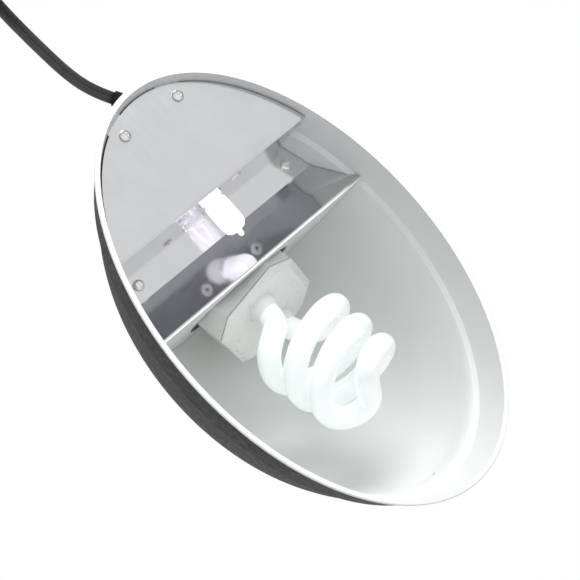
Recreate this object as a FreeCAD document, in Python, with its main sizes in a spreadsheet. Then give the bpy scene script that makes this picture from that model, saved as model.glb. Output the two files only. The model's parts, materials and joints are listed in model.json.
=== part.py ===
"""Oval dome grow lamp: a twin shell, a halogen compartment and a screw-in spiral lamp.

The frame is in millimetres.  The rim rests on the plane z = 0 with the opening
downwards, X runs along the oval and the cord leaves at the -X end.
"""
import FreeCAD, Part
import math
import os
import re
import Sketcher
from FreeCAD import Placement, Rotation, Vector

SIZES = (
    # dome, outside
    ("rim_half_length", 130.0), ("rim_half_width", 79.3), ("shell_height", 116.0),
    ("skirt_height", 24.8), ("ledge_height", 27.2), ("lip_height", 1.3), ("lip_edge", 0.5),
    ("outer_wall", 1.3), ("shell_gap", 0.4), ("liner_wall", 1.0), ("sheet_gap", 0.6),
    ("hang_hole_radius", 1.3), ("hang_hole_height", 41.6), ("hang_hole_tilt", 12.0),
    ("vent_length", 20.0), ("vent_width", 3.0), ("vent_pitch", 8.0), ("vent_centre", -72.0),
    # halogen compartment
    ("sheet", 0.8), ("cover_height", 6.4), ("cover_gap", 1.0), ("wall_place", 65.4),
    ("trough_height", 39.0), ("floor_length", 18.6), ("mirror_reach", 22.4), ("mirror_edge", 22.0),
    ("shelf", 7.0), ("lip_return", 8.0),
    ("cover_screw_inset", 17.0), ("cover_screw_side", 18.0), ("cover_block_height", 12.0),
    ("trough_screw_place", 54.8), ("trough_screw_inset", 26.3), ("trough_block_height", 16.0),
    ("block", 12.0),
    # screws
    ("screw_radius", 1.5), ("screw_head_radius", 3.1), ("screw_head", 2.1), ("screw_length", 9.0),
    ("recess_width", 0.7), ("recess_length", 3.2), ("recess_depth", 1.1), ("play", 0.1),
    # halogen capsule, along +X from the front of the trough wall
    ("capsule_height", 19.5), ("capsule_radius", 6.5), ("capsule_wall", 0.9),
    ("capsule_start", 1.5), ("capsule_length", 21.0), ("nipple_radius", 1.5), ("nipple", 3.0),
    ("seal_width", 12.0), ("seal_thick", 3.6), ("seal_length", 12.0), ("pin_radius", 0.4),
    ("pin_length", 5.0), ("pin_side", 4.5), ("contact_radius", 1.3),
    ("holder_width", 24.0), ("holder_tall", 14.0), ("holder_length", 17.0), ("lamp_hole", 7.4),
    ("bracket_width", 48.0), ("bracket_tall", 18.0), ("rivet_side", 18.4), ("rivet_radius", 1.7),
    ("rivet_head_radius", 3.2), ("rivet_head", 0.8),
    # spiral lamp, along its own axis from the front of its cap
    ("lamp_place", -1.75), ("lamp_drop", 53.1), ("lamp_tilt", 27.0), ("lamp_roll", 20.5),
    ("case_half", 28.4), ("case_corner", 11.6), ("case_wall", 1.6), ("case_length", 24.0),
    ("case_back", 36.0), ("case_back_half", 19.0), ("case_back_corner", 8.0),
    ("cap_depth", 3.0), ("cap_bevel", 4.0), ("cap_bevel_depth", 2.4), ("groove", 0.5),
    ("tube_radius", 6.25), ("tube_wall", 1.1), ("coil_radius", 26.6), ("coil_taper", 0.09),
    ("coil_start", 23.4), ("coil_pitch", 34.1), ("coil_turns", 1.25), ("coil_tip", 71.5),
    ("coil_phase", 63.0), ("leg_radius", 13.0), ("leg_angle", 25.0),
    ("collar_radius", 8.6), ("collar", 6.0),
    ("screw_cap_radius", 13.0), ("screw_cap_neck", 12.0), ("screw_cap", 21.0), ("thread_pitch", 3.63),
    ("insulator", 3.4), ("insulator_radius", 7.0), ("tip_gap", 0.1), ("tip_radius", 4.6), ("tip", 1.6),
    # lamp socket
    ("socket_play", 0.5), ("socket_shell", 0.5), ("socket_radius", 15.6), ("socket_mouth", 40.0),
    ("socket_floor", 3.4), ("spring_gap", 0.3), ("spring", 0.8), ("bracket", 1.2),
    ("strap_width", 22.0), ("strap_end", -25.0), ("strap_start", -54.0),
    ("strap_screw_one", -42.0), ("strap_screw_two", -31.0), ("nut_radius", 3.2), ("nut", 2.4),
    # cord and its bushing
    ("cord_width", 6.6), ("cord_thick", 3.8), ("exit_height", 12.2), ("exit_side", 3.0),
    ("bushing_wide", 7.6), ("bushing_tall", 5.4), ("bushing_out", 3.0), ("bushing_neck", 5.4),
    ("bushing_neck_tall", 3.8), ("bushing_inner", 20.0), ("clip_wide", 8.5), ("clip_tall", 4.9),
    ("clip_thick", 1.6),
    ("cord_coil_radius", 46.2), ("cord_coil_hole", 26.4), ("cord_coil_height", 12.0), ("tie", 0.5),
    ("plug_length", 27.0), ("plug_half_width", 9.5), ("plug_half_thick", 6.0),
    ("blade_side", 6.35), ("blade_length", 17.0), ("blade_width", 6.3), ("blade_thick", 1.5),
)
WORDS = dict(SIZES)

# name, share of the height above the ledge, inset along X, inset along Y, and how much of a
# wall's thickness goes sideways and downwards there
BOWL = (
    ("bowl", 0.167, 10.9, 6.6, 0.97, 0.24),
    ("waist", 0.482, 19.5, 10.4, 0.95, 0.30),
    ("shoulder", 0.707, 29.5, 17.4, 0.88, 0.48),
    ("brow", 0.865, 42.5, 27.6, 0.71, 0.71),
    ("crest", 0.945, 57.0, 38.0, 0.46, 0.89),
    ("crown", 0.989, 72.5, 49.2, 0.22, 0.975),
    ("summit", 1.0, 81.5, 55.6, 0.0, 1.0),
)
SKIRT = (("rim", 0.0, 0.0), ("skirt", 5.3, 1.8), ("ledge", 7.7, 4.1))

doc = FreeCAD.newDocument("GrowLamp")
sheet = doc.addObject("Spreadsheet::Sheet", "Sizes")
for row, (alias, number) in enumerate(SIZES, 1):
    sheet.set("A%d" % row, alias)
    sheet.set("B%d" % row, str(number))
    sheet.setAlias("B%d" % row, alias)
doc.recompute()

PARTS = []
TOTAL_WALL = "outer_wall + shell_gap + liner_wall"
LAMP_HEIGHT = "shell_height - lamp_drop"
EVEN_AXIS = (3 ** -0.5, 3 ** -0.5, 3 ** -0.5)


# ---- helpers -------------------------------------------------------------------------------
def written(rule):
    """The rule with every sheet word written in full."""
    def full(word):
        return "Sizes." + word.group() if word.group() in WORDS else word.group()
    return re.sub(r"[a-z][a-z_]*[a-z]", full, rule)


def bind(thing, rules):
    for path, rule in rules.items():
        thing.setExpression(path, written(rule))
    return thing


def place(thing, x="0", y="0", z="0", axis=None, angle=None):
    if axis:
        thing.Placement = Placement(Vector(), Rotation(Vector(*axis), 1))
        bind(thing, {"Placement.Rotation.Angle": angle})
    return bind(thing, {"Placement.Base.x": x, "Placement.Base.y": y, "Placement.Base.z": z})


def on_lamp_axis(thing):
    """Local +Z points along the spiral lamp, away from its socket."""
    return place(thing, "lamp_place", "0", LAMP_HEIGHT, (0, 1, 0), "90 + lamp_tilt")


def rolled(thing):
    """The same shape turned about the spiral lamp's own axis, as the lamp's case is."""
    return group(thing.Name + "_rolled", [place(thing, axis=(0, 0, 1), angle="lamp_roll")])


def on_capsule_axis(thing, y="0"):
    """Local +Z points along +X from the front of the trough wall."""
    return place(thing, "sheet - wall_place", y, "capsule_height", (0, 1, 0), "90")


def box(name, low, size):
    thing = doc.addObject("Part::Box", name)
    bind(thing, {"Length": size[0], "Width": size[1], "Height": size[2]})
    return place(thing, *low)


def middle_box(name, centre, size):
    """A box centred on a point in X and Y, standing on it in Z."""
    low = ("(%s) - (%s) / 2" % (centre[0], size[0]), "(%s) - (%s) / 2" % (centre[1], size[1]), centre[2])
    return box(name, low, size)


def rod(name, radius, length, at=("0", "0", "0"), axis=None, angle=None):
    thing = doc.addObject("Part::Cylinder", name)
    bind(thing, {"Radius": radius, "Height": length})
    return place(thing, *at, axis=axis, angle=angle)


def joined(kind, name, shapes):
    thing = doc.addObject("Part::" + kind, name)
    if kind in ("Cut", "Common"):
        thing.Base, thing.Tool = shapes
    elif kind == "Compound":
        thing.Links = shapes
    else:
        thing.Shapes = shapes
    return thing


def cut(name, base, *tools):
    tool = tools[0] if len(tools) == 1 else joined("MultiFuse", name + "_tools", list(tools))
    return joined("Cut", name, (base, tool))


def common(name, first, second):
    return joined("Common", name, (first, second))


def fuse(name, *shapes):
    return joined("MultiFuse", name, list(shapes))


def group(name, shapes):
    return joined("Compound", name, list(shapes))


def node(label, thing):
    """Keep a finished sub-part under its own Label."""
    thing.Label = label
    PARTS.append(thing)
    return thing


def drawn(body, name, plane_role, outline, lift=None):
    """A closed outline of (x, y) rules in a sketch on one of the body's own planes."""
    sketch = body.newObject("Sketcher::SketchObject", name)
    plane = next(item for item in body.Origin.OriginFeatures if item.Role == plane_role)
    sketch.AttachmentSupport = [(plane, "")]
    sketch.MapMode = "FlatFace"
    if lift:
        bind(sketch, {"AttachmentOffset.Base.z": lift})
    count = len(outline)
    ring = [Vector(math.cos(math.tau * i / count), math.sin(math.tau * i / count)) for i in range(count)]
    for i in range(count):
        sketch.addGeometry(Part.LineSegment(ring[i], ring[(i + 1) % count]), False)
    for i in range(count):
        sketch.addConstraint(Sketcher.Constraint("Coincident", i, 2, (i + 1) % count, 1))
    for i, rules in enumerate(outline):
        for kind, rule, start, axis in zip(("DistanceX", "DistanceY"), rules, ring[i], (-2, -1)):
            if rule == "0":
                sketch.addConstraint(Sketcher.Constraint("PointOnObject", i, 1, axis))
            else:
                index = sketch.addConstraint(Sketcher.Constraint(kind, -1, 1, i, 1, start))
                bind(sketch, {"Constraints[%d]" % index: rule})
    return sketch


def turned(name, outline):
    """A body turned about its own Z axis from (radius, height) rules."""
    body = doc.addObject("PartDesign::Body", name)
    sketch = drawn(body, name + "_outline", "XZ_Plane", outline)
    turn = body.newObject("PartDesign::Revolution", name + "_turn")
    turn.Profile = sketch
    turn.ReferenceAxis = (sketch, ["V_Axis"])
    turn.Angle = 360
    return body


def padded(name, plane_role, outline, length):
    """A body padded to both sides of one of its planes."""
    body = doc.addObject("PartDesign::Body", name)
    pad = body.newObject("PartDesign::Pad", name + "_pad")
    pad.Profile = drawn(body, name + "_outline", plane_role, outline)
    pad.Midplane = True
    return bind(pad, {"Length": length}) and body


def octagon(half_x, half_y, corner):
    """A rectangle's corners, each cut off at 45 degrees."""
    long_x, long_y = "(%s)" % half_x, "(%s)" % half_y
    short_x, short_y = "(%s - (%s))" % (long_x, corner), "(%s - (%s))" % (long_y, corner)
    quarter = ((long_x, short_y), (short_x, long_y))
    outline = []
    for sign_x, sign_y, step in (("", "", 1), ("-", "", -1), ("-", "-", 1), ("", "-", -1)):
        outline += [(sign_x + x, sign_y + y) for x, y in quarter[::step]]
    return outline


def lofted(name, rings):
    """A body through octagons of (height, half_x, half_y, corner)."""
    body = doc.addObject("PartDesign::Body", name)
    sketches = [drawn(body, "%s_ring_%d" % (name, i), "XY_Plane", octagon(*ring[1:]), ring[0])
                for i, ring in enumerate(rings)]
    loft = body.newObject("PartDesign::AdditiveLoft", name + "_loft")
    loft.Profile = sketches[0]
    loft.Sections = sketches[1:]
    loft.Ruled = True
    return body


def oval(name, length, width, at, axis=None, angle=None):
    thing = doc.addObject("Part::Ellipse", name)
    thing.MajorRadius, thing.MinorRadius = 1000, 1
    bind(thing, {"MajorRadius": length, "MinorRadius": width})
    return place(thing, *at, axis=axis, angle=angle)


def loft(name, sections, ruled=False):
    thing = doc.addObject("Part::Loft", name)
    thing.Sections = sections
    thing.Solid = True
    thing.Ruled = ruled
    return thing


def dome(name, inset):
    """The dome's filled shape with its surface moved inwards; it starts 1 mm below the rim."""
    corner = math.tan(math.radians(22.5))
    skirt = []
    for word, along, across in SKIRT:
        height = "-1" if word == "rim" else "%s_height - %.4f * (%s)" % (word, corner, inset)
        skirt.append(oval("%s_%s" % (name, word), "rim_half_length - %s - (%s)" % (along, inset),
                          "rim_half_width - %s - (%s)" % (across, inset), ("0", "0", height)))
    bowl = [skirt[-1]]
    for word, share, along, across, sideways, down in BOWL:
        height = "ledge_height + %s * (shell_height - ledge_height) - %s * (%s)" % (share, down, inset)
        bowl.append(oval("%s_%s" % (name, word),
                         "rim_half_length - %s - %s * (%s)" % (along, sideways, inset),
                         "rim_half_width - %s - %s * (%s)" % (across, sideways, inset), ("0", "0", height)))
    return fuse(name, loft(name + "_low", skirt, ruled=True), loft(name + "_high", bowl))


def number(word):
    return float(sheet.get(word))


def rounded_route(points, share=0.45):
    """Straight runs joined by tangent arcs, and the arcs' radii."""
    edges, radii, start = [], [], points[0]
    for before, corner, after in zip(points, points[1:], points[2:]):
        back, on = before - corner, after - corner
        reach = share * min(back.Length, on.Length)
        half = (math.pi - back.getAngle(on)) / 2
        back.normalize()
        on.normalize()
        radius = reach / math.tan(half)
        inward = (back + on).normalize()
        arc_start, arc_end = corner + back * reach, corner + on * reach
        arc_middle = corner + inward * (radius / math.cos(half) - radius)
        edges.append(Part.LineSegment(start, arc_start).toShape())
        edges.append(Part.Arc(arc_start, arc_middle, arc_end).toShape())
        radii.append(radius)
        start = arc_end
    edges.append(Part.LineSegment(start, points[-1]).toShape())
    return Part.Wire(edges), radii


def tube(name, points, radius, bore=0.0):
    """A round tube along a rounded route, hollow where it has a bore."""
    wire, radii = rounded_route(points)
    solids = [wire.makePipe(Part.Face(Part.Wire(Part.makeCircle(r, points[0], points[1] - points[0]))))
              for r in (radius, bore) if r]
    solid = solids[0].cut(solids[1]) if bore else solids[0]
    thing = doc.addObject("Part::Feature", name)
    thing.Shape = solid
    print("%-18s length %7.1f  volume ratio %.4f  radii %s" % (
        name, wire.Length, solid.Volume / (math.pi * (radius ** 2 - bore ** 2) * wire.Length),
        " ".join("%.1f" % r for r in radii)))
    return thing


# ---- shells --------------------------------------------------------------------------------
outside = dome("outside", "0")
outer_inside = dome("outer_inside", "outer_wall")
liner_outside = dome("liner_outside", "outer_wall + shell_gap")
liner_inside = dome("liner_inside", TOTAL_WALL)
sheet_room = dome("sheet_room", TOTAL_WALL + " + sheet_gap")
cover_room = dome("cover_room", TOTAL_WALL + " + cover_gap")

whole = ("2 * rim_half_length + 20", "2 * rim_half_width + 20")
below_lip = box("below_lip", ("-rim_half_length - 10", "-rim_half_width - 10", "-10"),
                whole + ("10 + lip_height",))
below_floor = box("below_floor", ("-rim_half_length - 10", "-rim_half_width - 10", "-10"), whole + ("10",))

bushing_hole = loft("bushing_hole", [
    oval("bushing_hole_%d" % i, "bushing_neck + play", "bushing_neck_tall + play",
         (x, "exit_side", "exit_height"), EVEN_AXIS, "120")
    for i, x in enumerate(("-rim_half_length - 5", "20 - rim_half_length"))])
hang_hole = rod("hang_hole", "hang_hole_radius", "30", ("rim_half_length - 28", "0", "hang_hole_height - 4"),
                (0, 1, 0), "90 - hang_hole_tilt")
strap_holes = [rod("strap_hole_%d" % i, "screw_radius + play", "20", (x, "0", "shell_height - 12"))
               for i, x in enumerate(("strap_screw_one", "strap_screw_two"))]
vents = [middle_box("vent_%d" % i, ("vent_centre", "%d * vent_pitch" % i, "shell_height - 34"),
                    ("vent_length", "vent_width", "34")) for i in (-2, -1, 0, 1, 2)]
openings = [bushing_hole, hang_hole] + strap_holes + vents

node("outer_shell", cut("outer_shell_solid", outside, outer_inside, below_lip, *openings))
lip = loft("lip", [oval("lip_%d" % i, "rim_half_length - %s" % less, "rim_half_width - %s" % less,
                        ("0", "0", height))
                   for i, (height, less) in enumerate((("0", "lip_edge"), ("lip_edge", "0"),
                                                       ("lip_height", "0.0553 * lip_height")))], ruled=True)
liner_body = fuse("liner_body", liner_outside, lip)
node("inner_reflector", cut("liner_solid", liner_body, liner_inside, below_floor, *openings))

# ---- cord bushing --------------------------------------------------------------------------
SIDEWAYS = dict(axis=EVEN_AXIS, angle="120")


def bushing_ring(name, x, wide, tall):
    return oval(name, wide, tall, (x, "exit_side", "exit_height"), **SIDEWAYS)


flange = cut("flange", loft("flange_whole", [
    bushing_ring("flange_back", "4 - rim_half_length", "bushing_wide", "bushing_tall"),
    bushing_ring("flange_edge", "-rim_half_length + 2.2 - 0.6 * bushing_out", "bushing_wide", "bushing_tall"),
    bushing_ring("flange_face", "2.2 - rim_half_length - bushing_out", "bushing_wide - 1.8",
                 "bushing_tall - 1.5"),
], ruled=True), outside)
neck = loft("neck", [
    bushing_ring("neck_out", "1.5 - rim_half_length", "bushing_neck", "bushing_neck_tall"),
    bushing_ring("neck_in", "12 - rim_half_length", "bushing_neck", "bushing_neck_tall"),
    bushing_ring("neck_end", "6 - rim_half_length + bushing_inner", "bushing_neck - 1.4",
                 "bushing_neck_tall - 1.2"),
], ruled=True)
NOZZLE_TURN = math.radians(33)
doc.recompute()
nozzle_way = Vector(-math.cos(NOZZLE_TURN), math.sin(NOZZLE_TURN), 0)
exit_root = Vector(2.4 - number("rim_half_length"), number("exit_side"), number("exit_height"))
CORD_EXIT = exit_root + nozzle_way * 6.6


def cord_face(centre, way, width, thick):
    """A flat cord's face square to its way, its width level."""
    side = Vector(0, 0, 1).cross(way).normalize()
    up = way.cross(side).normalize() * (thick / 2)
    edge = side * ((width - thick) / 2)
    lines = [Part.LineSegment(centre - edge + up, centre + edge + up).toShape(),
             Part.Arc(centre + edge + up, centre + side * (width / 2), centre + edge - up).toShape(),
             Part.LineSegment(centre + edge - up, centre - edge - up).toShape(),
             Part.Arc(centre - edge - up, centre - side * (width / 2), centre - edge + up).toShape()]
    return Part.Face(Part.Wire(lines))


nozzle = doc.addObject("Part::Feature", "nozzle")
nozzle.Shape = cord_face(exit_root - nozzle_way * 1.5, nozzle_way, number("cord_width") + 1.8,
                       number("cord_thick") + 1.6).extrude(nozzle_way * 8.1)
node("cord_bushing", fuse("bushing_solid", flange, neck, nozzle))
node("bushing_clip", cut("clip_solid", loft("clip_whole", [
    bushing_ring("clip_front", "5.6 - rim_half_length + 2", "clip_wide", "clip_tall"),
    bushing_ring("clip_back", "5.6 - rim_half_length + 2 + clip_thick", "clip_wide", "clip_tall")]),
    loft("clip_hole", [
        bushing_ring("clip_hole_front", "4 - rim_half_length", "bushing_neck", "bushing_neck_tall"),
        bushing_ring("clip_hole_back", "11 - rim_half_length", "bushing_neck", "bushing_neck_tall")])))


# ---- screws --------------------------------------------------------------------------------
def screw(name, at, up=True):
    """A pan-head screw: its head lies below the point and its shank above, or the reverse."""
    head = turned(name + "_turned", (
        ("0", "-screw_head"), ("screw_head_radius * 0.55", "-screw_head"),
        ("screw_head_radius * 0.88", "-0.7 * screw_head"), ("screw_head_radius", "-0.3 * screw_head"),
        ("screw_head_radius", "0"), ("screw_radius", "0"), ("screw_radius", "screw_length - 1"),
        ("screw_radius - 0.6", "screw_length"), ("0", "screw_length")))
    bars = [middle_box("%s_bar_%d" % (name, i), ("0", "0", "-screw_head - 1"), size + ("1 + recess_depth",))
            for i, size in enumerate((("recess_width", "recess_length"), ("recess_length", "recess_width")))]
    made = cut(name, head, *bars)
    return place(made, *at) if up else place(made, *at, axis=(1, 0, 0), angle="180")


SIDES = ("-", "")
cover_x = "cover_screw_inset - rim_half_length"
node("cover_screws", group("cover_screw_pair", [
    screw("cover_screw_%d" % i, (cover_x, side + "cover_screw_side", "cover_height"))
    for i, side in enumerate(SIDES)]))
trough_side = "(rim_half_width - trough_screw_inset)"
node("trough_screws", group("trough_screw_pair", [
    screw("trough_screw_%d" % i, ("-trough_screw_place", side + trough_side, "trough_height"))
    for i, side in enumerate(SIDES)]))
node("socket_screws", group("socket_screw_pair", [
    screw("socket_screw_%d" % i, (x, "0", "shell_height"), up=False)
    for i, x in enumerate(("strap_screw_one", "strap_screw_two"))]))

# ---- cover plate and mounting blocks --------------------------------------------------------
cover_slab = box("cover_slab", ("-rim_half_length - 5", "-rim_half_width - 5", "cover_height"),
                 ("rim_half_length + 5 - wall_place", "2 * rim_half_width + 10", "sheet"))
node("cover_plate", cut("cover_solid", common("cover_shape", cover_slab, cover_room), *[
    rod("cover_hole_%d" % i, "screw_radius + play", "20", (cover_x, side + "cover_screw_side", "0"))
    for i, side in enumerate(SIDES)]))


def block_pair(name, x, y, z, size, hole_side):
    """Two mirrored blocks cut to the liner's inner surface, with their screw holes."""
    blocks = []
    for i, side in enumerate(SIDES):
        low = y if side == "" else "-(%s) - (%s)" % (y, size[1])
        whole_block = box("%s_box_%d" % (name, i), (x, low, z), size)
        fitted = common("%s_fitted_%d" % (name, i), whole_block, liner_inside)
        hole = rod("%s_hole_%d" % (name, i), "screw_radius", "screw_length + 1", hole_side(side))
        blocks.append(cut("%s_%d" % (name, i), fitted, hole))
    return group(name, blocks)


cover_block_low = "cover_height + sheet"
node("cover_blocks", block_pair(
    "cover_block", "-rim_half_length", "cover_screw_side - block / 2", cover_block_low,
    ("cover_screw_inset + block / 2", "block", "cover_block_height"),
    lambda side: (cover_x, side + "cover_screw_side", cover_block_low)))
trough_block_low = "trough_height + sheet"
node("trough_blocks", block_pair(
    "trough_block", "-trough_screw_place - block / 2", trough_side + " - block / 2", trough_block_low,
    ("block", "trough_screw_inset", "trough_block_height"),
    lambda side: ("-trough_screw_place", side + trough_side, trough_block_low)))

# ---- halogen trough -------------------------------------------------------------------------
floor_end = "(floor_length - wall_place)"
edge_end = "(floor_length - wall_place + mirror_reach)"
slope = "atan((trough_height - mirror_edge) / mirror_reach)"
rise_x = "(sheet * sin(%s))" % slope
rise_z = "(sheet * cos(%s))" % slope
knee = "(sheet * tan((%s) / 2))" % slope
trough_outline = (
    ("-wall_place - shelf", "cover_height + sheet"), ("sheet - wall_place", "cover_height + sheet"),
    ("sheet - wall_place", "trough_height"), (floor_end, "trough_height"), (edge_end, "mirror_edge"),
    (edge_end + " + sheet", "mirror_edge"), (edge_end + " + sheet", "mirror_edge + lip_return"),
    (edge_end, "mirror_edge + lip_return"),
    (edge_end, "mirror_edge + %s + %s * tan(%s)" % (rise_z, rise_x, slope)),
    (floor_end + " + " + knee, "trough_height + sheet"), ("-wall_place", "trough_height + sheet"),
    ("-wall_place", "cover_height + 2 * sheet"), ("-wall_place - shelf", "cover_height + 2 * sheet"))
trough_sheet = padded("trough_sheet", "XZ_Plane", trough_outline, "2 * rim_half_width")
trough_holes = [rod("trough_hole_%d" % i, "screw_radius + play", "6",
                    ("-trough_screw_place", side + trough_side, "trough_height - 3"))
                for i, side in enumerate(SIDES)]
rivet_holes = [on_capsule_axis(rod("rivet_hole_%d" % i, "rivet_radius", "6"), side + "rivet_side")
               for i, side in enumerate(SIDES)]
for hole in rivet_holes:
    bind(hole, {"Placement.Base.x": "-wall_place - 3"})
lamp_window = place(rod("lamp_window", "lamp_hole", "6"), "-wall_place - 3", "0", "capsule_height",
                    (0, 1, 0), "90")
node("halogen_trough", cut("trough_solid", common("trough_shape", trough_sheet, sheet_room),
                           lamp_window, *(trough_holes + rivet_holes)))

partition_x = edge_end + " + sheet"
partition_sheet = box("partition_sheet", (partition_x, "-rim_half_width", "mirror_edge"),
                      ("sheet", "2 * rim_half_width", "shell_height - mirror_edge"))
lamp_way = on_lamp_axis(rod("lamp_way", "sqrt(case_half ^ 2 + (case_half - case_corner) ^ 2) + 0.8", "160"))
bind(lamp_way, {"Placement.Base.x": "lamp_place - 80 * cos(lamp_tilt)",
                "Placement.Base.z": LAMP_HEIGHT + " + 80 * sin(lamp_tilt)"})
node("lamp_partition", cut("partition_solid", common("partition_shape", partition_sheet, sheet_room),
                           lamp_way))

# ---- halogen holder -------------------------------------------------------------------------
holder_back = "(2 * sheet + holder_length)"
holder_block = middle_box("holder_block", ("0", "0", "-" + holder_back),
                          ("holder_tall", "holder_width", "holder_length"))
seal_pocket = middle_box("seal_pocket", ("0", "0", "-seal_length - play"),
                         ("seal_thick + 4 * play", "seal_width + 4 * play", "seal_length + 1"))
contact_holes = [rod("contact_hole_%d" % i, "contact_radius", "holder_length",
                     ("0", side + "pin_side", "-" + holder_back + " + 1")) for i, side in enumerate(SIDES)]
node("halogen_holder", on_capsule_axis(cut("holder_solid", holder_block, seal_pocket, *contact_holes)))
contacts = [cut("contact_%d" % i,
                rod("contact_out_%d" % i, "contact_radius",
                     "holder_length - seal_length + 2 * sheet - 1 - play",
                    ("0", side + "pin_side", "-" + holder_back + " + 1")),
                rod("contact_in_%d" % i, "pin_radius + 1.5 * play", "holder_length",
                    ("0", side + "pin_side", "-" + holder_back)))
            for i, side in enumerate(SIDES)]
node("holder_contacts", on_capsule_axis(group("contact_pair", contacts)))

plate = middle_box("bracket_plate", ("0", "0", "-2 * sheet"), ("bracket_tall", "bracket_width", "sheet"))
arms = [box("bracket_arm_%d" % i, ("-holder_tall / 2", low, "-2 * sheet - 12"),
            ("holder_tall", "sheet", "12"))
        for i, low in enumerate(("-holder_width / 2 - sheet", "holder_width / 2"))]
bracket_window = middle_box("bracket_window", ("0", "0", "-10"), ("seal_thick + 2", "seal_width + 1", "20"))
bracket_rivet_holes = [rod("bracket_hole_%d" % i, "rivet_radius", "6", ("0", side + "rivet_side", "-4"))
                       for i, side in enumerate(SIDES)]
node("holder_bracket", on_capsule_axis(cut("holder_bracket_solid", fuse("bracket_bent", plate, *arms),
                                           bracket_window, *bracket_rivet_holes)))
rivets = [place(turned("rivet_%d" % i, (
    ("rivet_radius * 0.55", "-2 * sheet - rivet_head * 0.8"),
    ("rivet_head_radius * 0.85", "-2 * sheet - rivet_head * 0.8"),
    ("rivet_head_radius * 0.85", "-2 * sheet"), ("rivet_radius", "-2 * sheet"), ("rivet_radius", "0"),
    ("rivet_head_radius", "0"), ("rivet_head_radius", "rivet_head * 0.4"),
    ("rivet_head_radius * 0.8", "rivet_head"),
    ("rivet_radius * 0.55", "rivet_head"))), "0", side + "rivet_side", "0") for i, side in enumerate(SIDES)]
node("holder_rivets", on_capsule_axis(group("rivet_pair", rivets)))

# ---- halogen capsule ------------------------------------------------------------------------
dome_end = "(capsule_start + capsule_length)"
glass_out = turned("glass_out", (
    ("0", "capsule_start"), ("capsule_radius * 0.7", "capsule_start"),
    ("capsule_radius", "capsule_start + 2.5"),
    ("capsule_radius", dome_end + " - 5"), ("capsule_radius * 0.9", dome_end + " - 2.2"),
    ("capsule_radius * 0.6", dome_end + " - 0.5"), ("nipple_radius", dome_end),
    ("nipple_radius", dome_end + " + 0.6 * nipple"),
    ("nipple_radius * 0.5", dome_end + " + nipple"), ("0", dome_end + " + nipple")))
glass_in = turned("glass_in", (
    ("0", "capsule_start + capsule_wall"),
    ("capsule_radius * 0.7 - capsule_wall * 0.5", "capsule_start + capsule_wall"),
    ("capsule_radius - capsule_wall", "capsule_start + 3"),
    ("capsule_radius - capsule_wall", dome_end + " - 5.2"),
    ("capsule_radius * 0.9 - capsule_wall", dome_end + " - 3"),
    ("capsule_radius * 0.5 - capsule_wall * 0.5", dome_end + " - 1.6"), ("0", dome_end + " - 1.4")))
seal = middle_box("seal", ("0", "0", "-seal_length"),
                  ("seal_thick", "seal_width", "seal_length + capsule_start + 0.4"))
node("halogen_capsule", on_capsule_axis(cut("glass_solid", fuse("glass_whole", glass_out, seal), glass_in)))
pins = [rod("pin_%d" % i, "pin_radius", "pin_length", ("0", side + "pin_side", "-seal_length - pin_length"))
        for i, side in enumerate(SIDES)]
node("halogen_pins", on_capsule_axis(group("pin_pair", pins)))


def local_to_capsule(height, y, up=0.0):
    return Vector(number("sheet") - number("wall_place") + height, y, number("capsule_height") + up)


filament_low = number("capsule_start") + number("capsule_wall")
node("halogen_filament", tube("filament", [
    local_to_capsule(filament_low, -2.6), local_to_capsule(filament_low + 6, -2.9),
    local_to_capsule(filament_low + 11, -1.4, 0.8), local_to_capsule(filament_low + 11.5, 1.4, 0.8),
    local_to_capsule(filament_low + 6, 2.9), local_to_capsule(filament_low, 2.6)], 0.35))

# ---- spiral lamp ----------------------------------------------------------------------------
front = "(cap_depth + groove)"
case_out = lofted("case_out", (
    ("-" + front, "case_half", "case_half", "case_corner"),
    ("-case_length", "case_half", "case_half", "case_corner"),
    ("-case_back", "case_back_half", "case_back_half", "case_back_corner")))
inner_half = "(case_half - case_wall)"
case_in = lofted("case_in", (
    ("1", inner_half, inner_half, "case_corner - case_wall * 0.59"),
    ("-case_length", inner_half, inner_half, "case_corner - case_wall * 0.59"),
    ("case_wall * 1.2 - case_back", "case_back_half", "case_back_half", "case_back_corner")))
node("cfl_ballast_case", on_lamp_axis(rolled(cut("case_solid", case_out, case_in))))
cap_out = lofted("cap_out", (
    ("-cap_depth", "case_half", "case_half", "case_corner"),
    ("-cap_bevel_depth", "case_half", "case_half", "case_corner"),
    ("0", "case_half - cap_bevel", "case_half - cap_bevel", "case_corner - cap_bevel * 0.59")))
spigot = lofted("spigot", (
    ("-cap_depth - 3", inner_half, inner_half, "case_corner - case_wall * 0.59"),
    ("-cap_depth", inner_half, inner_half, "case_corner - case_wall * 0.59")))
spigot_hollow = lofted("spigot_hollow", (
    ("-cap_depth - 4", inner_half + " - 1.4", inner_half + " - 1.4", "case_corner - case_wall"),
    ("-case_wall", inner_half + " - 1.4", inner_half + " - 1.4", "case_corner - case_wall")))
cap_solid = cut("cap_solid", fuse("cap_whole", cap_out, spigot), spigot_hollow)
node("cfl_front_cap", on_lamp_axis(rolled(cap_solid)))

board_low = "(-cap_depth - 3 - 1.6)"
node("ballast_board", on_lamp_axis(rolled(lofted("board", (
    (board_low, inner_half, inner_half, "case_corner - case_wall * 0.59"),
    (board_low + " + 1.6", inner_half, inner_half, "case_corner - case_wall * 0.59"))))))
node("ballast_choke", on_lamp_axis(rolled(fuse("choke", *[
    middle_box("choke_%d" % i, ("-9", "0", board_low + " - 13"), size)
    for i, size in enumerate((("16", "14", "4"), ("9", "18", "13"), ("16", "14", "4")))]))))
capacitor = turned("capacitor", (
    ("0", "-14"), ("4.6", "-14"), ("5", "-13.4"), ("5", "-0.6"), ("4.6", "0"), ("0", "0")))
place(capacitor, "10", "0", board_low)
node("ballast_capacitor", on_lamp_axis(rolled(group("capacitor_part", [capacitor]))))

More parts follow.
